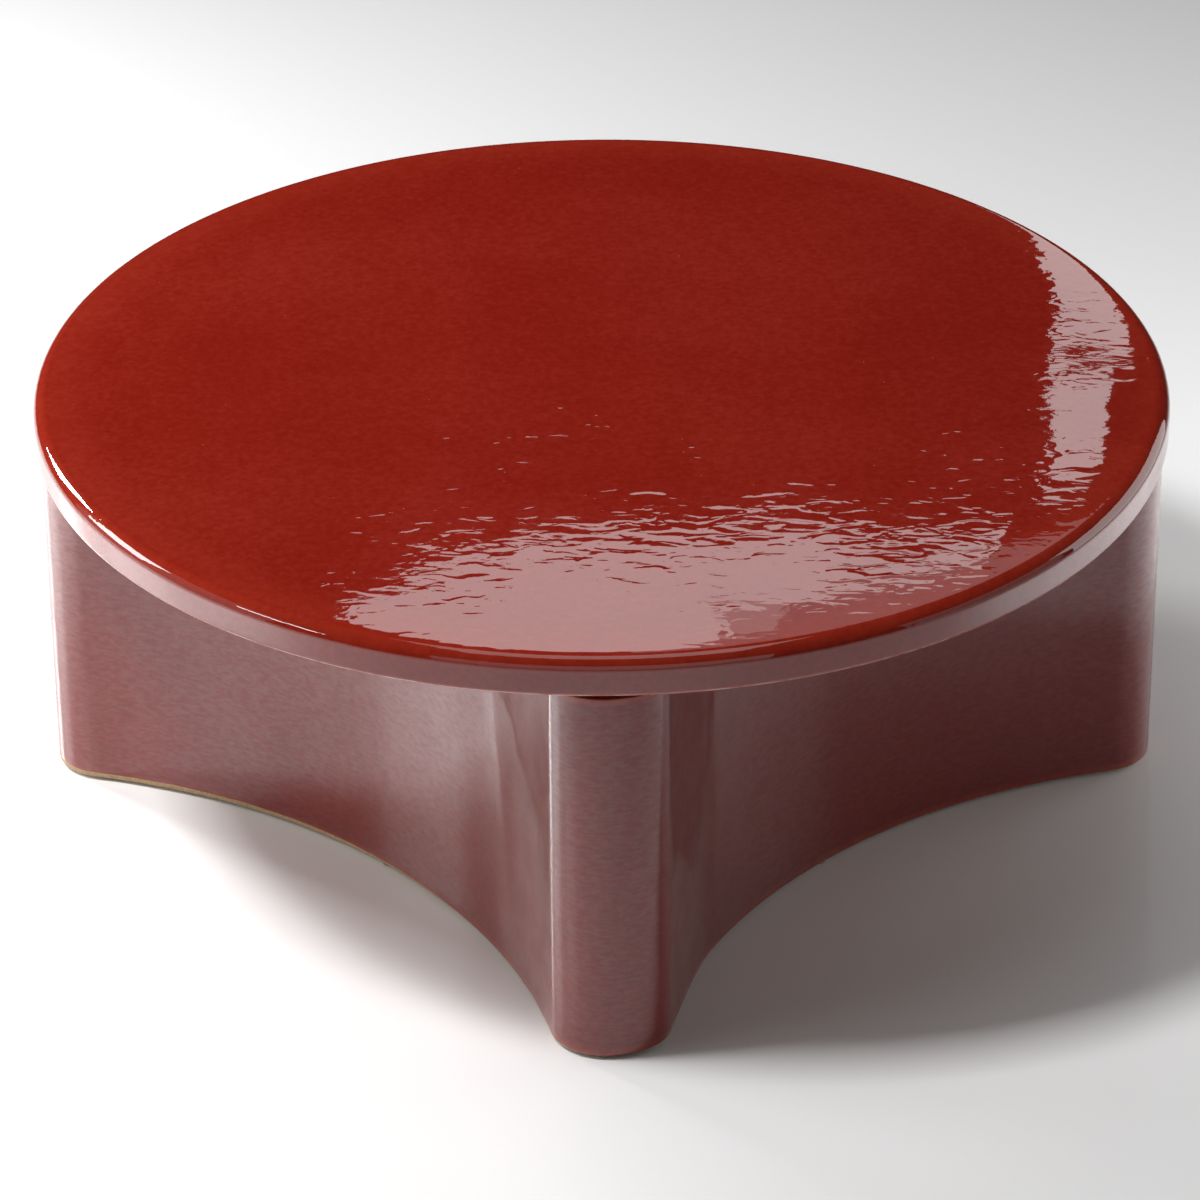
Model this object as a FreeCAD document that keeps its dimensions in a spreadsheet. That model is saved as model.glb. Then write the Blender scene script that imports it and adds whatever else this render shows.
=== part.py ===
import FreeCAD, Part
import math
import os
import Sketcher

# Low round side table in glazed stoneware.
# A disc top with a bullnose rim lies on soft bumpers on the upper edge of a hollow base.
# The base is an upright wall whose plan is a four-pointed star: four rounded legs under the rim,
# joined by concave walls that run into the legs without a crease.
# Frame: +Z up, origin on the floor under the middle of the table, front leg along -Y.

# Driving sizes in millimetres
SIZES = {
    "table_diameter": 900,
    "top_thickness": 32,
    "shoulder_radius": 11,
    "lower_edge_radius": 3.5,
    "base_height": 314,
    "leg_tip_inset": 1,
    "leg_nose_radius": 43,
    "wall_curve_radius": 508,
    "wall_thickness": 16,
    "seat_lip_width": 16,
    "seat_lip_thickness": 20,
    "seat_edge_radius": 2.5,
    "foot_edge_radius": 3,
    "bumper_diameter": 20,
    "bumper_taper": 1,
    "bumper_thickness": 2,
    "floor_pad_diameter": 12,
    "floor_pad_thickness": 2,
}

# Directions of the legs and of the narrow places between them, in degrees from +X
LEGS = {"front": -90, "right": 0, "back": 90, "left": 180}
WAISTS = {"front_right": -45, "back_right": 45, "back_left": 135, "front_left": -135}

QUARTER_TURN = math.pi / 2
TOLERANCE = 1e-4

doc = FreeCAD.newDocument("side_table")
sheet = doc.addObject("Spreadsheet::Sheet", "dims")
for row, (size_name, size_value) in enumerate(SIZES.items(), start=1):
    sheet.set(f"A{row}", size_name)
    sheet.set(f"B{row}", str(size_value))
    sheet.setAlias(f"B{row}", size_name)
doc.recompute()

# Places that several pieces share, as expressions on the sheet
RIM_RADIUS = "dims.table_diameter / 2"
LEG_TIP = f"({RIM_RADIUS} - dims.leg_tip_inset)"
NOSE_CENTRE = f"({LEG_TIP} - dims.leg_nose_radius)"
ARC_REACH = "(dims.wall_curve_radius + dims.leg_nose_radius)"
WALL_CENTRE = f"(({NOSE_CENTRE} + sqrt(2 * {ARC_REACH}^2 - {NOSE_CENTRE}^2)) / 2)"
WAIST = f"(sqrt(2) * {WALL_CENTRE} - dims.wall_curve_radius)"
SEAT_WIDTH = "(dims.wall_thickness + dims.seat_lip_width)"
SEAT_LEVEL = "(dims.floor_pad_thickness + dims.base_height)"
UNDERSIDE_LEVEL = f"({SEAT_LEVEL} + dims.bumper_thickness)"


def worked_out(expression):
    """The present value of an expression on the sheet."""
    return float(sheet.evalExpression(expression.replace("dims.", "")))


def origin_plane(body, role):
    """One of the body's own origin planes, such as XY_Plane."""
    return next(plane for plane in body.Origin.OriginFeatures if plane.Role == role)


def new_sketch(body, name, role):
    """An empty sketch on one of the body's origin planes."""
    sketch = body.newObject("Sketcher::SketchObject", name)
    sketch.AttachmentSupport = [(origin_plane(body, role), "")]
    sketch.MapMode = "FlatFace"
    return sketch


def drive(sketch, constraint, name, expression):
    """Add a sketch dimension and bind it to the sheet."""
    index = sketch.addConstraint(constraint)
    sketch.renameConstraint(index, name)
    sketch.setExpression(f"Constraints.{name}", expression)


def star_sketch(body, name, inward):
    """The star plan, drawn a given distance inside the base's outer face.

    Every nose is an arc about a point on an axis and every wall an arc about a point on a diagonal.
    Moving the outline inward shrinks the noses and widens the walls about the same centres,
    so the arcs stay tangent and the wall keeps one thickness all the way round.
    """
    sketch = new_sketch(body, name, "XY_Plane")
    nose_centre = worked_out(NOSE_CENTRE)
    wall_centre = worked_out(WALL_CENTRE)
    nose_expression = f"dims.leg_nose_radius - {inward}"
    wall_expression = f"dims.wall_curve_radius + {inward}"
    nose_radius = worked_out(nose_expression)
    wall_radius = worked_out(wall_expression)
    half_nose = math.atan2(wall_centre, wall_centre - nose_centre)
    up = FreeCAD.Vector(0, 0, 1)
    noses = []
    walls = []
    for quarter in range(4):
        turn = quarter * QUARTER_TURN
        along = FreeCAD.Vector(math.cos(turn), math.sin(turn), 0)
        across = FreeCAD.Vector(-math.sin(turn), math.cos(turn), 0)
        nose_circle = Part.Circle(along * nose_centre, up, nose_radius)
        noses.append(sketch.addGeometry(Part.ArcOfCircle(nose_circle, turn - half_nose, turn + half_nose)))
        wall_circle = Part.Circle((along + across) * wall_centre, up, wall_radius)
        wall_start = turn + 3 * QUARTER_TURN - half_nose
        wall_end = turn + 2 * QUARTER_TURN + half_nose
        walls.append(sketch.addGeometry(Part.ArcOfCircle(wall_circle, wall_start, wall_end)))
    for quarter in range(4):
        nose = noses[quarter]
        wall = walls[quarter]
        next_nose = noses[(quarter + 1) % 4]
        sketch.addConstraint(Sketcher.Constraint("Tangent", nose, 2, wall, 2))
        sketch.addConstraint(Sketcher.Constraint("Tangent", wall, 1, next_nose, 1))
    for quarter in range(4):
        nose = noses[quarter]
        wall = walls[quarter]
        axis = -1 if quarter % 2 == 0 else -2
        sketch.addConstraint(Sketcher.Constraint("PointOnObject", nose, 3, axis))
        reach = Sketcher.Constraint("Distance", -1, 1, nose, 3, nose_centre)
        drive(sketch, reach, f"nose_reach_{quarter}", NOSE_CENTRE)
        drive(sketch, Sketcher.Constraint("Radius", nose, nose_radius), f"nose_{quarter}", nose_expression)
        drive(sketch, Sketcher.Constraint("Radius", wall, wall_radius), f"wall_{quarter}", wall_expression)
    return sketch


def pocket_upward(body, name, sketch):
    """A pocket that cuts up into the solid from the foot of the base."""
    pocket = body.newObject("PartDesign::Pocket", name)
    pocket.Profile = sketch
    pocket.Reversed = True
    return pocket


def outer_edges(shape, level):
    """Names of the star's outer edges that lie at one level of the base."""
    outer_radii = (worked_out("dims.leg_nose_radius"), worked_out("dims.wall_curve_radius"))
    found = []
    for number, edge in enumerate(shape.Edges, start=1):
        box = edge.BoundBox
        if abs(box.ZMin - level) > TOLERANCE or abs(box.ZMax - level) > TOLERANCE:
            continue
        if any(abs(edge.Curve.Radius - radius) < TOLERANCE for radius in outer_radii):
            found.append(f"Edge{number}")
    return found


def round_edges(body, name, base, level, radius_expression):
    """Round the star's outer edge at one level."""
    fillet = body.newObject("PartDesign::Fillet", name)
    fillet.Base = (base, outer_edges(base.Shape, level))
    fillet.setExpression("Radius", radius_expression)
    doc.recompute()
    return fillet


def make_base_shell():
    """The hollow base: one wall, an inward lip along its top as the seat, open at top and bottom."""
    body = doc.addObject("PartDesign::Body", "base_shell")
    body.Label = "base_shell"
    body.setExpression("Placement.Base.z", "dims.floor_pad_thickness")
    block = body.newObject("PartDesign::Pad", "star_block")
    block.Profile = star_sketch(body, "outer_plan", "0")
    block.setExpression("Length", "dims.base_height")
    doc.recompute()
    block_volume = block.Shape.Volume

    cavity = pocket_upward(body, "cavity", star_sketch(body, "cavity_plan", "dims.wall_thickness"))
    cavity.setExpression("Length", "dims.base_height - dims.seat_lip_thickness")
    doc.recompute()
    cavity_volume = cavity.Shape.Volume
    mouth = pocket_upward(body, "seat_mouth", star_sketch(body, "mouth_plan", SEAT_WIDTH))
    mouth.setExpression("Length", "dims.base_height")
    doc.recompute()
    if not block_volume > cavity_volume > mouth.Shape.Volume:
        raise RuntimeError("a pocket of the base cut nothing")

    seat_round = round_edges(body, "seat_edge", mouth, worked_out("dims.base_height"), "dims.seat_edge_radius")
    round_edges(body, "foot_edge", seat_round, 0, "dims.foot_edge_radius")
    return body


def make_table_top():
    """The disc: flat top face, bullnose shoulder, upright side and a small round under it."""
    body = doc.addObject("PartDesign::Body", "table_top")
    body.Label = "table_top"
    body.setExpression("Placement.Base.z", UNDERSIDE_LEVEL)
    sketch = new_sketch(body, "rim_profile", "XZ_Plane")
    rim = worked_out(RIM_RADIUS)
    thickness = worked_out("dims.top_thickness")
    shoulder = worked_out("dims.shoulder_radius")
    lower = worked_out("dims.lower_edge_radius")
    up = FreeCAD.Vector(0, 0, 1)

    def point(x, z):
        return FreeCAD.Vector(x, z, 0)

    underside = sketch.addGeometry(Part.LineSegment(point(0, 0), point(rim - lower, 0)))
    lower_circle = Part.Circle(point(rim - lower, lower), up, lower)
    lower_arc = sketch.addGeometry(Part.ArcOfCircle(lower_circle, -QUARTER_TURN, 0))
    side = sketch.addGeometry(Part.LineSegment(point(rim, lower), point(rim, thickness - shoulder)))
    shoulder_circle = Part.Circle(point(rim - shoulder, thickness - shoulder), up, shoulder)
    shoulder_arc = sketch.addGeometry(Part.ArcOfCircle(shoulder_circle, 0, QUARTER_TURN))
    face = sketch.addGeometry(Part.LineSegment(point(rim - shoulder, thickness), point(0, thickness)))
    middle = sketch.addGeometry(Part.LineSegment(point(0, thickness), point(0, 0)))

    for before, after in ((underside, lower_arc), (lower_arc, side), (side, shoulder_arc), (shoulder_arc, face)):
        sketch.addConstraint(Sketcher.Constraint("Tangent", before, 2, after, 1))
    sketch.addConstraint(Sketcher.Constraint("Coincident", face, 2, middle, 1))
    sketch.addConstraint(Sketcher.Constraint("Coincident", middle, 2, underside, 1))
    sketch.addConstraint(Sketcher.Constraint("Coincident", underside, 1, -1, 1))
    sketch.addConstraint(Sketcher.Constraint("Horizontal", underside))
    sketch.addConstraint(Sketcher.Constraint("Horizontal", face))
    sketch.addConstraint(Sketcher.Constraint("Vertical", side))
    sketch.addConstraint(Sketcher.Constraint("Vertical", middle))
    drive(sketch, Sketcher.Constraint("Radius", lower_arc, lower), "lower_edge", "dims.lower_edge_radius")
    drive(sketch, Sketcher.Constraint("Radius", shoulder_arc, shoulder), "shoulder", "dims.shoulder_radius")
    drive(sketch, Sketcher.Constraint("DistanceX", -1, 1, side, 1, rim), "rim", RIM_RADIUS)
    drive(sketch, Sketcher.Constraint("DistanceY", -1, 1, face, 2, thickness), "thickness", "dims.top_thickness")

    disc = body.newObject("PartDesign::Revolution", "disc")
    disc.Profile = sketch
    disc.ReferenceAxis = (sketch, ["V_Axis"])
    disc.Angle = 360
    return body


def set_place(piece, radius, direction, level):
    """Put a round piece at a radius, in one direction from the middle, standing at a level."""
    piece.setExpression("Placement.Base.x", f"{radius} * cos({direction} deg)")
    piece.setExpression("Placement.Base.y", f"{radius} * sin({direction} deg)")
    piece.setExpression("Placement.Base.z", level)


def make_top_bumper(name, outer_reach, direction):
    """A soft disc with a tapered side, stuck to the middle of the seat, which carries the top."""
    bumper = doc.addObject("Part::Cone", name)
    bumper.Label = name
    bumper.setExpression("Radius1", "dims.bumper_diameter / 2")
    bumper.setExpression("Radius2", "dims.bumper_diameter / 2 - dims.bumper_taper")
    bumper.setExpression("Height", "dims.bumper_thickness")
    set_place(bumper, f"({outer_reach} - {SEAT_WIDTH} / 2)", direction, SEAT_LEVEL)
    return bumper


def make_floor_pad(name, outer_reach, direction):
    """A felt disc under the middle of the wall's foot."""
    pad = doc.addObject("Part::Cylinder", name)
    pad.Label = name
    pad.setExpression("Radius", "dims.floor_pad_diameter / 2")
    pad.setExpression("Height", "dims.floor_pad_thickness")
    set_place(pad, f"({outer_reach} - dims.wall_thickness / 2)", direction, "0")
    return pad


def export(pieces):
    """Check the whole document, then write one file for each piece."""
    for item in doc.Objects:
        if "Invalid" in item.State or "Error" in item.State:
            raise RuntimeError(f"{item.Label} did not build: {item.State}")
    for piece in pieces:
        if piece.Shape.isNull() or not piece.Shape.isValid() or len(piece.Shape.Solids) != 1:
            raise RuntimeError(f"{piece.Label} is not one sound solid")
    os.makedirs("parts", exist_ok=True)
    for piece in pieces:
        piece.Shape.exportStep(f"parts/{piece.Label}.step")


pieces = [make_table_top(), make_base_shell()]
for side_name, direction in LEGS.items():
    pieces.append(make_top_bumper(f"top_bumper_leg_{side_name}", LEG_TIP, direction))
    pieces.append(make_floor_pad(f"floor_pad_leg_{side_name}", LEG_TIP, direction))
for side_name, direction in WAISTS.items():
    pieces.append(make_top_bumper(f"top_bumper_waist_{side_name}", WAIST, direction))
    pieces.append(make_floor_pad(f"floor_pad_waist_{side_name}", WAIST, direction))
doc.recompute()
export(pieces)
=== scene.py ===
import math

import bmesh
import bpy
from mathutils import Matrix, Vector, noise


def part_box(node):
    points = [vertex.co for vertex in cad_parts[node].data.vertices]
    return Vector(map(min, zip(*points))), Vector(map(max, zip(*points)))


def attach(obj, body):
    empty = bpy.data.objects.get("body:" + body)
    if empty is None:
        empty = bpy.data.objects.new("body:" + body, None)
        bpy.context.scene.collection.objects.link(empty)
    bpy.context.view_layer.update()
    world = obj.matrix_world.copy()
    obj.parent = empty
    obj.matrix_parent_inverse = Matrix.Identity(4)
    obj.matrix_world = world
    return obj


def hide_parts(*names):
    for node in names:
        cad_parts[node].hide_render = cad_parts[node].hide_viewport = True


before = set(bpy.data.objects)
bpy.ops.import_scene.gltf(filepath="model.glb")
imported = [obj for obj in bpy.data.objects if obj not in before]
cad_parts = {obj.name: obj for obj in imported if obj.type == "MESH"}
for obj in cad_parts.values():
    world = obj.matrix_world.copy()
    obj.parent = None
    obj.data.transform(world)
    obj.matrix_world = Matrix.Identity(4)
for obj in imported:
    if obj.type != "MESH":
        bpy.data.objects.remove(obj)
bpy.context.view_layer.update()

# Sizes in metres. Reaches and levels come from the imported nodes.
top_low, top_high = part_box("table_top")
base_low, base_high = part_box("base_shell")
RIM = top_high.x
TOP = top_high.z
UNDERSIDE = top_low.z
LEG_TIP = base_high.x
FOOT = base_low.z
SEAT = base_high.z
SHOULDER_RADIUS = 0.011
LOWER_EDGE_RADIUS = 0.0035
LEG_NOSE_RADIUS = 0.043
WALL_CURVE_RADIUS = 0.508
WALL_THICKNESS = 0.016
SEAT_WIDTH = 0.032
SEAT_LIP_THICKNESS = 0.020
SEAT_EDGE_RADIUS = 0.0012
FOOT_EDGE_RADIUS = 0.003

QUARTER = math.pi / 2
SHARP_ANGLE = math.radians(40)
GLAZE, BARE = 0, 1


# Mesh helpers

def wave(point, size, seed):
    """Smooth noise from -1 to 1 with features of about the given size."""
    return noise.noise(Vector(point) / size + Vector((seed, 2.7 * seed, -1.3 * seed)))


def waves(point, layers):
    """The sum of some waves, each given as its height, size and seed."""
    return sum(height * wave(point, size, seed) for height, size, seed in layers)


def mesh_piece(name, vertices, faces, slots, thin=None):
    """A smooth mesh object with outward normals and a material index for each face."""
    mesh = bpy.data.meshes.new(name)
    mesh.from_pydata(vertices, [], faces)
    mesh.polygons.foreach_set("material_index", slots)
    if thin is not None:
        layer = mesh.attributes.new("thin_glaze", "FLOAT", "POINT")
        layer.data.foreach_set("value", thin)
    shape = bmesh.new()
    shape.from_mesh(mesh)
    bmesh.ops.recalc_face_normals(shape, faces=shape.faces)
    for face in shape.faces:
        face.smooth = True
    for edge in shape.edges:
        edge.smooth = not (edge.is_manifold and edge.calc_face_angle() > SHARP_ANGLE)
    shape.to_mesh(mesh)
    shape.free()
    piece = bpy.data.objects.new(name, mesh)
    bpy.context.scene.collection.objects.link(piece)
    return piece


def ring_faces(first, second, count):
    """Quads between two closed rings of vertices that start at the given numbers."""
    for step in range(count):
        after = (step + 1) % count
        yield (first + step, first + after, second + after, second + step)


def arc(steps):
    """Angles of a quarter circle, both ends included."""
    return [QUARTER * step / steps for step in range(steps + 1)]


# The top: a square grid bent to a disc, then rings over the bullnose and under the edge

GRID = 112
GRID_RADIUS = 0.40
FACE_RINGS = 13
SHOULDER_STEPS = 14
SIDE_RINGS = 6
LOWER_EDGE_STEPS = 6
UNDERSIDE_RADII = (0.36, 0.24, 0.12, 0.03)

# The glaze pulls the top face down a little towards the rim, and laps under the edge.
FACE_INSET = 0.0002
CROWN_START = 0.385
CROWN_DROP = 0.0006
GLAZE_LAP = 0.014

# Height, size and seed of the slow waves of a hand-made slab
FACE_WAVES = ((0.00012, 0.17, 3), (0.00004, 0.07, 8))
RIM_WAVES = ((0.00015, 0.12, 5), (0.00006, 0.03, 6))

# How thin the glaze runs: 0 is the full coat, 1 a thin one, and above that it breaks to a pale colour,
# which on the top's lower edge is a painted highlight.
THIN_AT_FACE_EDGE = 0.25
THIN_ON_SHOULDER = 0.15
THIN_SHOULDER_PEAK = 0.2
THIN_AND_HIGHLIGHT_ON_LOWER_EDGE = 1.7
THIN_ON_LAP = 0.2


def grid_point(column, row):
    """A point of the square grid, moved onto the unit disc."""
    a = 2 * column / GRID - 1
    b = 2 * row / GRID - 1
    if a == 0 and b == 0:
        return 0.0, 0.0
    if abs(a) > abs(b):
        angle = math.pi / 4 * b / a
        return a * math.cos(angle), a * math.sin(angle)
    angle = QUARTER - math.pi / 4 * a / b
    return b * math.cos(angle), b * math.sin(angle)


def face_level(x, y):
    """Height of the top face: crowned at the rim, with slow waves."""
    radius = math.hypot(x, y)
    edge = RIM - SHOULDER_RADIUS
    crown = max(0.0, radius - CROWN_START) / (edge - CROWN_START)
    return TOP - FACE_INSET - CROWN_DROP * crown ** 2 + waves((x, y, 0), FACE_WAVES)


def face_grid():
    """Vertices and faces of the bent grid, and its boundary as angles with vertex numbers."""
    vertices, faces, boundary = [], [], []
    for row in range(GRID + 1):
        for column in range(GRID + 1):
            across, along = grid_point(column, row)
            if column in (0, GRID) or row in (0, GRID):
                boundary.append((math.atan2(along, across), len(vertices)))
            x = across * GRID_RADIUS
            y = along * GRID_RADIUS
            vertices.append((x, y, face_level(x, y)))
    for row in range(GRID):
        for column in range(GRID):
            corner = row * (GRID + 1) + column
            faces.append((corner, corner + 1, corner + GRID + 2, corner + GRID + 1))
    boundary.sort()
    return vertices, faces, boundary


def rim_rings():
    """Rings from the grid's edge to below the disc: radius, level (None: the face's), thin glaze, slot."""
    edge = RIM - SHOULDER_RADIUS
    lower = RIM - LOWER_EDGE_RADIUS
    rings = []
    for step in range(1, FACE_RINGS):
        radius = GRID_RADIUS + (edge - GRID_RADIUS) * step / FACE_RINGS
        rings.append((radius, None, THIN_AT_FACE_EDGE * step / FACE_RINGS, GLAZE))
    lean = math.atan(2 * CROWN_DROP / (edge - CROWN_START))
    crown_level = TOP - FACE_INSET - CROWN_DROP
    for angle in arc(SHOULDER_STEPS):
        turned = lean + angle * (1 - lean / QUARTER)
        radius = edge + SHOULDER_RADIUS * math.sin(turned)
        level = crown_level - SHOULDER_RADIUS * (math.cos(lean) - math.cos(turned))
        thin = THIN_ON_SHOULDER + THIN_SHOULDER_PEAK * math.sin(2 * angle)
        rings.append((radius, level, thin, GLAZE))
    side_top = rings[-1][1]
    side_foot = UNDERSIDE + LOWER_EDGE_RADIUS
    for step in range(1, SIDE_RINGS):
        rings.append((RIM, side_top + (side_foot - side_top) * step / SIDE_RINGS, 0.0, GLAZE))
    for angle in arc(LOWER_EDGE_STEPS):
        radius = lower + LOWER_EDGE_RADIUS * math.cos(angle)
        level = side_foot - LOWER_EDGE_RADIUS * math.sin(angle)
        # The pale line along this lower edge is a painted highlight, carried by the thin-glaze value.
        rings.append((radius, level, THIN_AND_HIGHLIGHT_ON_LOWER_EDGE * math.sin(2 * angle), GLAZE))
    rings.append((lower - GLAZE_LAP, UNDERSIDE, THIN_ON_LAP, GLAZE))
    for radius in UNDERSIDE_RADII:
        rings.append((radius, UNDERSIDE, 0.0, BARE))
    return rings


def make_top():
    vertices, faces, boundary = face_grid()
    slots = [GLAZE] * len(faces)
    thin = [0.0] * len(vertices)
    angles = [angle for angle, number in boundary]
    before = [number for angle, number in boundary]
    count = len(angles)
    for radius, level, share, slot in rim_rings():
        here = []
        for angle in angles:
            x = math.cos(angle)
            y = math.sin(angle)
            z = face_level(radius * x, radius * y) if level is None else level
            bulge = 0.0
            if slot == GLAZE and radius >= RIM - SHOULDER_RADIUS:
                bulge = waves((RIM * x, RIM * y, z), RIM_WAVES)
            here.append(len(vertices))
            vertices.append(((radius + bulge) * x, (radius + bulge) * y, z))
            thin.append(share)
        for step in range(count):
            after = (step + 1) % count
            faces.append((before[step], before[after], here[after], here[step]))
            slots.append(slot)
        before = here
    middle = len(vertices)
    vertices.append((0, 0, UNDERSIDE))
    thin.append(0.0)
    for step in range(count):
        faces.append((before[step], before[(step + 1) % count], middle))
        slots.append(BARE)
    return mesh_piece("glazed_top", vertices, faces, slots, thin)


# The base: the star plan, swept with the wall's section

NOSE_STEPS = 34
WALL_STEPS = 92
WALL_RINGS = 52
EDGE_STEPS = 5
SEAT_EASE = 0.0008
INNER_WALL_SHARES = (0.02, 0.35, 0.68, 0.99)
THIN_ON_FOOT = 0.7
THIN_ON_SEAT_EDGE = 0.8
THIN_ON_SEAT = 0.2

# Height, size and seed of the uneven wall, and how much slower it changes upwards than along
WALL_WAVES = ((0.00022, 0.16, 11), (0.00007, 0.055, 12))
WALL_WAVE_RISE = 0.6
FOLD_WAVES = ((0.0004, 0.035, 13),)
FOLD_WAVE_RISE = 0.3

# Distances from the table's axis where the uneven fold beside a leg begins and where it is full
FOLD_START = 0.27
FOLD_FULL = 0.34

# The front leg is wider on its right: by how much, and how far across that is full and ends
SPREAD = 0.0085
SPREAD_RISE = 0.042
SPREAD_END = 0.085


def star_plan():
    """Round the star: centre, direction and radius of each point, and +1 on a nose, -1 on a wall."""
    nose_centre = LEG_TIP - LEG_NOSE_RADIUS
    reach = WALL_CURVE_RADIUS + LEG_NOSE_RADIUS
    wall_centre = (nose_centre + math.sqrt(2 * reach ** 2 - nose_centre ** 2)) / 2
    half_nose = math.atan2(wall_centre, wall_centre - nose_centre)
    plan = []
    for quarter in range(4):
        turn = quarter * QUARTER
        along = Vector((math.cos(turn), math.sin(turn)))
        across = Vector((-math.sin(turn), math.cos(turn)))
        for step in range(NOSE_STEPS):
            angle = turn - half_nose + 2 * half_nose * step / NOSE_STEPS
            plan.append((along * nose_centre, angle, LEG_NOSE_RADIUS, 1))
        start = turn + 2 * QUARTER + half_nose
        sweep = QUARTER - 2 * half_nose
        for step in range(WALL_STEPS):
            angle = start + sweep * step / WALL_STEPS
            plan.append(((along + across) * wall_centre, angle, WALL_CURVE_RADIUS, -1))
    return plan


def wall_section():
    """The wall's section, a closed line: distance in from the outer face, level, wave, thin glaze, slot."""
    section = []
    for angle in arc(EDGE_STEPS):
        inward = FOOT_EDGE_RADIUS * (1 - math.sin(angle))
        level = FOOT + FOOT_EDGE_RADIUS * (1 - math.cos(angle))
        section.append((inward, level, math.sin(angle), THIN_ON_FOOT, GLAZE))
    low = FOOT + FOOT_EDGE_RADIUS
    high = SEAT - SEAT_EDGE_RADIUS
    for step in range(1, WALL_RINGS):
        section.append((0.0, low + (high - low) * step / WALL_RINGS, 1.0, 0.0, GLAZE))
    for angle in arc(EDGE_STEPS):
        inward = SEAT_EDGE_RADIUS * (1 - math.cos(angle))
        level = high + SEAT_EDGE_RADIUS * math.sin(angle)
        section.append((inward, level, math.cos(angle), THIN_ON_SEAT_EDGE, GLAZE))
    section.append((WALL_THICKNESS, SEAT, 0.0, THIN_ON_SEAT, GLAZE))
    lip = SEAT - SEAT_LIP_THICKNESS
    bare_line = [
        (SEAT_WIDTH - SEAT_EASE, SEAT),
        (SEAT_WIDTH, SEAT - SEAT_EASE),
        (SEAT_WIDTH, lip + SEAT_EASE),
        (SEAT_WIDTH - SEAT_EASE, lip),
        (WALL_THICKNESS + SEAT_EASE, lip),
    ]
    for share in INNER_WALL_SHARES:
        bare_line.append((WALL_THICKNESS, lip + (FOOT - lip) * share))
    bare_line.append((WALL_THICKNESS - SEAT_EASE, FOOT))
    for inward, level in bare_line:
        section.append((inward, level, 0.0, 0.0, BARE))
    return section


def fold_share(place):
    """How far a point of the wall lies in the hand-smoothed fold beside a leg, from 0 to 1."""
    near = (place.length - FOLD_START) / (FOLD_FULL - FOLD_START)
    return min(1.0, max(0.0, near))


def smooth_share(value):
    """0 below 0, 1 above 1, and a smooth step between."""
    held = min(1.0, max(0.0, value))
    return held * held * (3 - 2 * held)


def leg_spread(place):
    """How far the right side of the front leg stands out sideways."""
    if place.y > 0:
        return 0.0
    rise = smooth_share(place.x / SPREAD_RISE)
    fall = smooth_share((SPREAD_END - place.x) / (SPREAD_END - SPREAD_RISE))
    return SPREAD * min(rise, fall)


def make_base():
    plan = star_plan()
    section = wall_section()
    count = len(plan)
    vertices, faces, slots, thin = [], [], [], []
    for inward, level, weight, share, _ in section:
        for centre, angle, radius, sense in plan:
            along = Vector((math.cos(angle), math.sin(angle)))
            place = centre + along * (radius - sense * inward)
            swell = waves((place.x, place.y, WALL_WAVE_RISE * level), WALL_WAVES)
            if sense < 0:
                swell += fold_share(place) * waves((place.x, place.y, FOLD_WAVE_RISE * level), FOLD_WAVES)
            place += along * (sense * weight * swell)
            vertices.append((place.x + leg_spread(place), place.y, level))
            thin.append(share)
    for ring in range(len(section)):
        after = (ring + 1) % len(section)
        slot = section[after][-1]
        faces.extend(ring_faces(ring * count, after * count, count))
        slots.extend([slot] * count)
    return mesh_piece("glazed_base", vertices, faces, slots, thin)


# The soft discs under the top and under the foot. A profile gives shares of radius and height.

BUMPER_STEPS = 64
BUMPER_PROFILE = [
    (0.5, 0.0), (0.97, 0.0), (1.0, 0.06), (0.995, 0.2), (0.965, 0.5),
    (0.94, 0.8), (0.925, 0.92), (0.895, 0.985), (0.84, 1.0), (0.45, 1.0),
]
FELT_STEPS = 72
FELT_PROFILE = [
    (0.5, 0.0), (0.88, 0.0), (0.945, 0.06), (0.975, 0.2), (0.98, 0.5),
    (0.975, 0.8), (0.945, 0.94), (0.88, 1.0), (0.5, 1.0),
]
FELT_RUFFLE = 0.00012
RUFFLE_SIZE = 0.0018
RUFFLE_SEED = 4
RUFFLE_RISE = 3


def make_disc(name, node, profile, steps, ruffle=0.0):
    """A turned disc in the place of a CAD node, its outline ruffled by up to the given length."""
    low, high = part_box(node)
    centre = (low + high) / 2
    radius = (high.x - low.x) / 2
    height = high.z - low.z
    vertices, faces = [], []
    for share, level in profile:
        for step in range(steps):
            angle = 2 * math.pi * step / steps
            x = math.cos(angle)
            y = math.sin(angle)
            place = (centre.x + radius * x, centre.y + radius * y, level * RUFFLE_RISE * height)
            out = radius * share + ruffle * share * wave(place, RUFFLE_SIZE, RUFFLE_SEED)
            vertices.append((centre.x + out * x, centre.y + out * y, low.z + level * height))
    for ring in range(len(profile) - 1):
        faces.extend(ring_faces(ring * steps, (ring + 1) * steps, steps))
    for ring in (0, len(profile) - 1):
        middle = len(vertices)
        level = profile[ring][1]
        vertices.append((centre.x, centre.y, low.z + level * height))
        for step in range(steps):
            faces.append((ring * steps + step, ring * steps + (step + 1) % steps, middle))
    return mesh_piece(name, vertices, faces, [0] * len(faces))


# Node helpers

# Moved off the table's axes, so that no symmetry of the noise shows
TEXTURE_SHIFT = (0.5113, 0.2371, 0.1637)

# Socket numbers of a Mix node that mixes colours
MIX_SHARE, MIX_FIRST, MIX_SECOND, MIX_RESULT = 0, 6, 7, 2


def new_material(name):
    material = bpy.data.materials.new(name)
    material.use_nodes = True
    tree = material.node_tree
    return material, tree, tree.nodes["Principled BSDF"]


def feed(tree, node, values):
    """Set a node's inputs, or link them where the value is a socket."""
    for key, value in values.items():
        if isinstance(value, bpy.types.NodeSocket):
            tree.links.new(value, node.inputs[key])
        else:
            node.inputs[key].default_value = value


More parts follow.
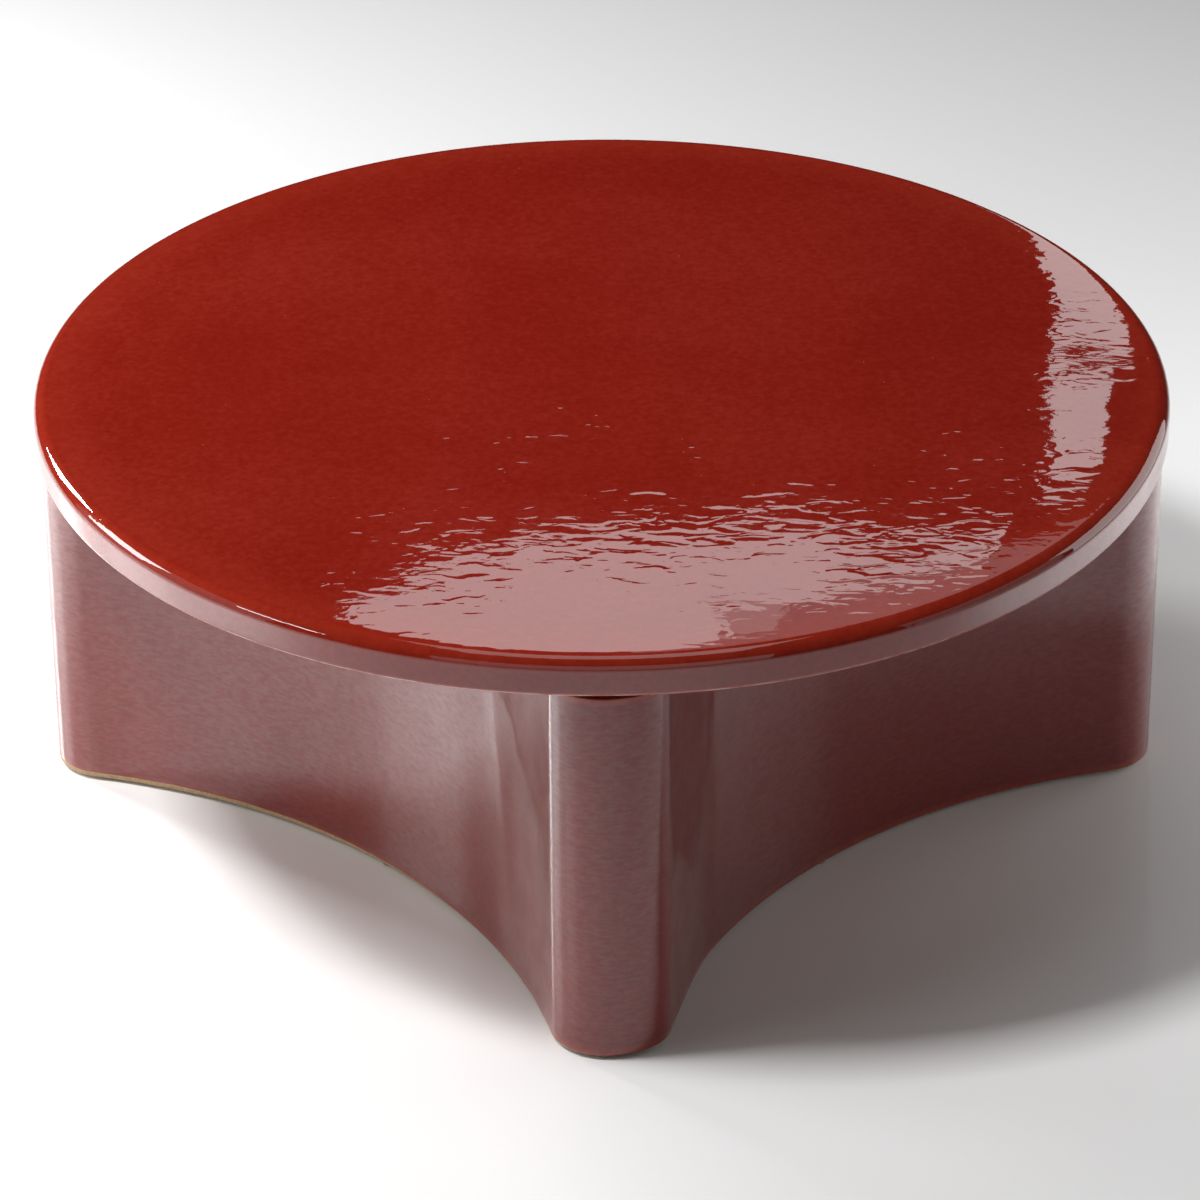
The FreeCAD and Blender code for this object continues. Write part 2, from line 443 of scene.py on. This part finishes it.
def add(tree, kind, values=None, **settings):
    """A new node with its settings and its input values."""
    made = tree.nodes.new("ShaderNode" + kind)
    for key, value in settings.items():
        setattr(made, key, value)
    feed(tree, made, values or {})
    return made


def places(tree, stretch=(1, 1, 1)):
    """Places on the object in metres, stretched along each axis."""
    where = add(tree, "TexCoord").outputs["Object"]
    values = {"Vector": where, "Location": TEXTURE_SHIFT, "Scale": stretch}
    return add(tree, "Mapping", values).outputs["Vector"]


def grain(tree, where, scale, detail=2.0, rough=0.5, distortion=0.0):
    """Smooth noise from 0 to 1, with about `scale` features to the metre."""
    values = {"Vector": where, "Scale": scale, "Detail": detail, "Roughness": rough,
              "Distortion": distortion}
    return add(tree, "TexNoise", values).outputs["Fac"]


def remap(tree, value, old, new):
    """A value eased from an old range to a new one, and held at its ends."""
    values = {"Value": value, "From Min": old[0], "From Max": old[1], "To Min": new[0], "To Max": new[1]}
    return add(tree, "MapRange", values, interpolation_type="SMOOTHSTEP").outputs["Result"]


def maths(tree, operation, first, second):
    return add(tree, "Math", {0: first, 1: second}, operation=operation).outputs["Value"]


def times(tree, first, second):
    return maths(tree, "MULTIPLY", first, second)


def blend(tree, share, first, second):
    """The second colour over the first, by a share."""
    values = {MIX_SHARE: share, MIX_FIRST: first, MIX_SECOND: second}
    return add(tree, "Mix", values, data_type="RGBA").outputs[MIX_RESULT]


def ramp(tree, value, *stops):
    """A colour for a value, from stops that each have a position and a colour."""
    made = add(tree, "ValToRGB", {"Fac": value})
    elements = made.color_ramp.elements
    while len(elements) < len(stops):
        elements.new(0.5)
    for element, (position, colour) in zip(elements, stops):
        element.position = position
        element.color = (*colour, 1)
    return made.outputs["Color"]


def specks(tree, where, scale, size, share):
    """Small round spots, about `scale` to the metre, in a share of the cells."""
    cells = add(tree, "TexVoronoi", {"Vector": where, "Scale": scale})
    chosen = add(tree, "SeparateColor", {"Color": cells.outputs["Color"]}).outputs["Red"]
    near = remap(tree, cells.outputs["Distance"], (size / 2, size), (1, 0))
    return times(tree, near, maths(tree, "LESS_THAN", chosen, share))


def relief(tree, height, depth, normal=None):
    """A bumped normal, `depth` metres deep, over another normal where one is given."""
    values = {"Height": height, "Distance": depth, "Strength": 1.0}
    if normal is not None:
        values["Normal"] = normal
    return add(tree, "Bump", values).outputs["Normal"]


# Materials

TOP_REDS = ((0.165, 0.005, 0.0018), (0.205, 0.0098, 0.0047), (0.25, 0.019, 0.011))
# The base has the same glaze as the top. Its reds are painted darker, as painted shade on the upright
# walls.
SHADED_BASE_REDS = ((0.138, 0.0068, 0.0033), (0.175, 0.0096, 0.005), (0.213, 0.0135, 0.0068))
RED_STOPS = (0.15, 0.35, 0.55)
THIN_ORANGE = (0.40, 0.042, 0.016, 1)
PALE_BREAK_AND_HIGHLIGHT = (0.62, 0.40, 0.36, 1)
# Pale break of the glaze, which on the top's lower edge stands as a painted highlight
PINHOLE_PINK = (0.55, 0.2, 0.15, 1)
PIT_DARK = (0.06, 0.006, 0.004, 1)
IRON_DARK = (0.09, 0.05, 0.03, 1)
FOOT_CLAY = ((0.3, (0.36, 0.23, 0.12)), (0.7, (0.52, 0.37, 0.22)))
BODY_CLAY = ((0.3, (0.33, 0.22, 0.125)), (0.7, (0.46, 0.33, 0.205)))
SILICONE_GREYS = ((0.3, (0.66, 0.66, 0.62)), (0.7, (0.8, 0.8, 0.77)))
FELT_BROWNS = ((0.3, (0.17, 0.13, 0.09)), (0.7, (0.37, 0.3, 0.22)))

# Ranges that most of a noise fills, a plain one and one with more detail
MOST = (0.3, 0.7)
MOST_OF_FINE = (0.3, 0.75)

# Ranges of roughness
TOP_GLOSS = (0.012, 0.03)
COAT_GLOSS = (0.02, 0.05)
BODY_GLOSS = (0.29, 0.38)
CLAY_MATT = (0.72, 0.92)
SILICONE_SHEEN = (0.28, 0.45)
FELT_MATT = (0.85, 1.0)

# The bare foot, its top higher towards the left: places across and heights there, raggedness, softness
WIPED_PLACES = (-0.02, -0.26)
WIPED_HEIGHTS = (0.0015, 0.0058)
WIPED_RAGGED = 0.0016
WIPED_EDGE = 0.0012

# How much clear coat is left where the wall is pocked, and the specular level below it
COAT_LEFT = (0.76, 1.0)
BODY_SPECULAR = (0.4, 0.6)


def glaze_colour(tree, where, reds):
    """Oxblood glaze: slow pools of depth, freckles, a thinner, more orange coat on the edges, and a pale
    break where thinnest, which on the top's lower edge is a painted highlight.
    """
    pools = grain(tree, where, 5.5, detail=3.0, rough=0.55, distortion=0.4)
    freckles = grain(tree, where, 190, detail=3.0, rough=0.6)
    tone = maths(tree, "ADD", times(tree, pools, 0.3), times(tree, freckles, 0.45))
    body = ramp(tree, tone, *zip(RED_STOPS, reds))
    thin = add(tree, "Attribute", attribute_name="thin_glaze").outputs["Fac"]
    uneven = remap(tree, grain(tree, where, 60), (0.25, 0.7), (0.62, 1.0))
    broken = times(tree, thin, uneven)
    edged = blend(tree, times(tree, broken, 0.8), body, THIN_ORANGE)
    # Where the glaze is thinnest it turns pale. This is a break of the glaze, and on the top's lower edge a
    # painted highlight.
    return blend(tree, remap(tree, broken, (0.9, 1.5), (0, 0.8)), edged, PALE_BREAK_AND_HIGHLIGHT)


def top_glaze():
    material, tree, shader = new_material("red_glaze_top")
    where = places(tree)
    pinholes = specks(tree, where, 75, size=0.045, share=0.2)
    colour = blend(tree, times(tree, pinholes, 0.6), glaze_colour(tree, where, TOP_REDS), PINHOLE_PINK)
    smear = remap(tree, grain(tree, where, 22, detail=4.0, rough=0.6), MOST_OF_FINE, TOP_GLOSS)
    dull = maths(tree, "ADD", smear, times(tree, pinholes, 0.2))
    rough_parts = remap(tree, grain(tree, where, 8, detail=1.0), (0.35, 0.65), (0.35, 1.5))
    swells = grain(tree, places(tree, (0.5, 1, 1)), 80, detail=1.5, rough=0.45, distortion=0.7)
    ripples = relief(tree, times(tree, swells, rough_parts), depth=0.00016)
    dents = specks(tree, places(tree, (0.4, 1, 1)), 42, size=0.3, share=0.2)
    dimpled = relief(tree, dents, depth=-0.00005, normal=ripples)
    peel = relief(tree, grain(tree, where, 260, detail=1.0), depth=0.000006, normal=dimpled)
    surface = relief(tree, pinholes, depth=-0.00004, normal=peel)
    feed(tree, shader, {"Base Color": colour, "Roughness": dull, "IOR": 1.8, "Normal": surface})
    return material


def base_glaze():
    material, tree, shader = new_material("red_glaze_base")
    where = places(tree)
    spot = add(tree, "SeparateXYZ", {"Vector": add(tree, "TexCoord").outputs["Object"]})
    pits = specks(tree, where, 55, size=0.05, share=0.16)
    glaze = blend(tree, times(tree, pits, 0.7), glaze_colour(tree, where, SHADED_BASE_REDS), PIT_DARK)

    wiped = remap(tree, spot.outputs["X"], WIPED_PLACES, WIPED_HEIGHTS)
    ragged = maths(tree, "ADD", wiped, times(tree, grain(tree, where, 45, detail=3.0), WIPED_RAGGED))
    above = maths(tree, "SUBTRACT", spot.outputs["Z"], ragged)
    foot = remap(tree, above, (0.0, WIPED_EDGE), (1, 0))
    clay = ramp(tree, grain(tree, where, 420, detail=3.0), *FOOT_CLAY)
    feed(tree, shader, {"Base Color": blend(tree, foot, glaze, clay)})

    smear = remap(tree, grain(tree, where, 18, detail=4.0, rough=0.6), MOST_OF_FINE, COAT_GLOSS)
    dull = maths(tree, "ADD", smear, times(tree, pits, 0.2))
    drawn_level = grain(tree, places(tree, (0.3, 0.3, 1)), 380, detail=3.0, rough=0.6)
    pocked = remap(tree, drawn_level, MOST, COAT_LEFT)
    covered = times(tree, pocked, maths(tree, "SUBTRACT", 1.0, foot))
    feed(tree, shader, {"Coat Roughness": dull, "Coat Weight": covered, "Coat IOR": 1.7})

    cloudy = remap(tree, grain(tree, where, 35, detail=3.0), MOST, BODY_GLOSS)
    rough = maths(tree, "MAXIMUM", cloudy, times(tree, foot, 0.8))
    specular = remap(tree, pocked, COAT_LEFT, BODY_SPECULAR)
    feed(tree, shader, {"Roughness": rough, "IOR": 1.3, "Specular IOR Level": specular})

    drips = grain(tree, places(tree, (1, 1, 0.35)), 42, detail=1.5, distortion=0.4)
    runs = relief(tree, drips, depth=0.00011)
    turning = grain(tree, places(tree, (0.05, 0.05, 1)), 420, rough=0.6, distortion=0.6)
    lines = relief(tree, turning, depth=0.000007, normal=runs)
    surface = relief(tree, pits, depth=-0.00006, normal=lines)
    feed(tree, shader, {"Normal": surface, "Coat Normal": surface})
    return material


def bare_clay():
    material, tree, shader = new_material("bare_stoneware")
    where = places(tree)
    body = ramp(tree, grain(tree, where, 30, detail=5.0, rough=0.65), *BODY_CLAY)
    iron = specks(tree, where, 260, size=0.2, share=0.22)
    colour = blend(tree, times(tree, iron, 0.75), body, IRON_DARK)
    rough = remap(tree, grain(tree, where, 300), MOST, CLAY_MATT)
    grit = relief(tree, grain(tree, where, 700, detail=3.0, rough=0.6), depth=0.00012)
    turning = grain(tree, places(tree, (1, 1, 9)), 26)
    surface = relief(tree, turning, depth=0.0005, normal=grit)
    feed(tree, shader, {"Base Color": colour, "Roughness": rough, "Normal": surface})
    return material


def silicone():
    material, tree, shader = new_material("clear_silicone")
    where = places(tree)
    colour = ramp(tree, grain(tree, where, 160, detail=3.0), *SILICONE_GREYS)
    rough = remap(tree, grain(tree, where, 500), MOST, SILICONE_SHEEN)
    surface = relief(tree, grain(tree, where, 900), depth=0.00003)
    feed(tree, shader, {"Base Color": colour, "Roughness": rough, "IOR": 1.41, "Normal": surface})
    feed(tree, shader, {"Subsurface Weight": 0.3, "Subsurface Scale": 0.002})
    return material


def felt():
    material, tree, shader = new_material("brown_felt")
    where = places(tree)
    fibres = grain(tree, places(tree, (1, 1, 0.4)), 1500, detail=4.0, rough=0.7, distortion=1.5)
    colour = ramp(tree, fibres, *FELT_BROWNS)
    rough = remap(tree, grain(tree, where, 900), MOST, FELT_MATT)
    surface = relief(tree, fibres, depth=0.0003)
    feed(tree, shader, {"Base Color": colour, "Roughness": rough, "Sheen Weight": 0.25, "Normal": surface})
    return material


# Pieces

bare = bare_clay()
glazed_top = make_top()
glazed_top.data.materials.append(top_glaze())
glazed_top.data.materials.append(bare)
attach(glazed_top, "root")
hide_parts("table_top")

glazed_base = make_base()
glazed_base.data.materials.append(base_glaze())
glazed_base.data.materials.append(bare)
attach(glazed_base, "root")
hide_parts("base_shell")

silicone_look = silicone()
felt_look = felt()
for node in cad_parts:
    if node.startswith("top_bumper_"):
        disc = make_disc(node.replace("top_", "soft_"), node, BUMPER_PROFILE, BUMPER_STEPS)
        disc.data.materials.append(silicone_look)
    elif node.startswith("floor_pad_"):
        disc = make_disc(node.replace("floor_", "felt_"), node, FELT_PROFILE, FELT_STEPS, FELT_RUFFLE)
        disc.data.materials.append(felt_look)
    else:
        continue
    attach(disc, "root")
    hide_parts(node)


# Studio: pale floor, softboxes, dim surroundings

FLOOR_RADIUS = 14.0
FLOOR_DROP = 0.0002
FLOOR_STEPS = 96
FLOOR_GREY = (0.9, 0.9, 0.9, 1)
FLOOR_ROUGHNESS = 0.24
WORLD_GREY = (0.01, 0.01, 0.01, 1)
TABLE_MIDDLE = (0, 0, 0.2)

# The boxes that the flat top mirrors stand on one upright plane behind the table.
BACK_PLANE = 2.6

# The lamps that brighten the floor beside the table hang just above it.
WASH_HEIGHT = 0.16
WASH_SIZE = (0.4, 1.1)


def make_floor():
    vertices = []
    for step in range(FLOOR_STEPS):
        angle = 2 * math.pi * step / FLOOR_STEPS
        vertices.append((FLOOR_RADIUS * math.cos(angle), FLOOR_RADIUS * math.sin(angle), -FLOOR_DROP))
    mesh = bpy.data.meshes.new("studio_floor")
    mesh.from_pydata(vertices, [], [list(range(FLOOR_STEPS))])
    floor = bpy.data.objects.new("studio_floor", mesh)
    bpy.context.scene.collection.objects.link(floor)
    material, tree, shader = new_material("floor_paper")
    feed(tree, shader, {"Base Color": FLOOR_GREY, "Roughness": FLOOR_ROUGHNESS})
    mesh.materials.append(material)


def softbox(name, place, aim, size, brightness, round_shape=False, glossy=True):
    """An area lamp of a stated brightness, where 1 is the brightness of lit white paper."""
    width, height = size
    lamp = bpy.data.lights.new(name, "AREA")
    lamp.shape = "ELLIPSE" if round_shape else "RECTANGLE"
    lamp.size = width
    lamp.size_y = height
    area = width * height * (math.pi / 4 if round_shape else 1)
    lamp.energy = brightness * math.pi * area
    holder = bpy.data.objects.new(name, lamp)
    bpy.context.scene.collection.objects.link(holder)
    holder.location = place
    holder.rotation_mode = "QUATERNION"
    holder.rotation_quaternion = (Vector(aim) - Vector(place)).to_track_quat("-Z", "Y")
    holder.visible_camera = False
    holder.visible_glossy = glossy


def floor_wash(name, x, y, brightness):
    """A lamp that faces straight down on the floor and isn't mirrored itself."""
    softbox(name, (x, y, WASH_HEIGHT), (x, y, 0.0), WASH_SIZE, brightness, glossy=False)


def back_box(name, x, z, size, brightness, round_shape=False):
    """A softbox on the plane behind the table, facing straight forward."""
    softbox(name, (x, BACK_PLANE, z), (x, 0, z), size, brightness, round_shape)


make_floor()
softbox("key_left", (-1.25, -0.41, 2.90), TABLE_MIDDLE, size=(0.5, 0.5), brightness=88, glossy=False)
softbox("overhead", (0, 0, 2.9), (0, 0, 0), size=(1.5, 1.5), brightness=1.0)
softbox("front_fill", (0, -5.0, 1.4), (0, 0, 0.6), size=(6.0, 2.4), brightness=0.4)
softbox("back_left", (-1.78, 1.24, 1.21), (-0.33, -0.1, 0.0), size=(0.36, 0.7), brightness=46)
softbox("left", (-2.4, 0.35, 1.1), (-0.5, -0.2, 0.0), size=(0.8, 0.8), brightness=8.5)
softbox("low_left", (-1.3, -0.25, 0.5), (0, -0.1, 0.2), size=(1.2, 0.9), brightness=0.35)
softbox("low_strip", (-1.6, -1.0, 0.95), (0, 0, 0.25), size=(0.6, 0.08), brightness=16)
softbox("right_back", (1.5, 0.5, 0.5), TABLE_MIDDLE, size=(1.2, 0.9), brightness=1.5)
softbox("right_front", (1.65, -0.62, 0.5), TABLE_MIDDLE, size=(1.1, 0.9), brightness=0.25)
floor_wash("left_floor", x=-0.93, y=-0.1, brightness=2.6)
floor_wash("right_floor", x=0.95, y=0.1, brightness=1.7)
back_box("back_round", x=-0.10, z=2.20, size=(0.56, 0.48), brightness=1.75, round_shape=True)
back_box("back_low", x=0.10, z=2.0, size=(0.44, 0.14), brightness=1.75)
back_box("back_low_right", x=0.43, z=2.005, size=(0.26, 0.10), brightness=1.75)
back_box("back_mid", x=0.19, z=2.14, size=(0.14, 0.18), brightness=0.9)
back_box("back_dim", x=0.45, z=2.38, size=(0.8, 0.7), brightness=0.45)
back_box("right_strip_low", x=0.67, z=1.375, size=(0.14, 0.57), brightness=1.8)
back_box("right_strip_high", x=0.65, z=1.79, size=(0.10, 0.21), brightness=1.8)

world = bpy.data.worlds.new("dim_studio")
world.use_nodes = True
world.node_tree.nodes["Background"].inputs["Color"].default_value = WORLD_GREY
bpy.context.scene.world = world
bpy.context.scene.view_settings.view_transform = "Standard"


# Camera, fitted to the photo, with its lens and sensor in millimetres

CAMERA_PLACE = (0.0011, -3.8511, 2.3403)
CAMERA_TURN = math.radians(0.049)
CAMERA_PITCH = math.radians(90 - 29.708)
CAMERA_ROLL = math.radians(-0.359)
SENSOR_WIDTH = 36.0
LENS = 163.72

camera_data = bpy.data.cameras.new("camera")
camera_data.sensor_width = SENSOR_WIDTH
camera_data.lens = LENS
camera = bpy.data.objects.new("camera", camera_data)
bpy.context.scene.collection.objects.link(camera)
camera.matrix_world = (Matrix.Translation(CAMERA_PLACE)
                       @ Matrix.Rotation(CAMERA_TURN, 4, "Z")
                       @ Matrix.Rotation(CAMERA_PITCH, 4, "X")
                       @ Matrix.Rotation(CAMERA_ROLL, 4, "Z"))
bpy.context.scene.camera = camera
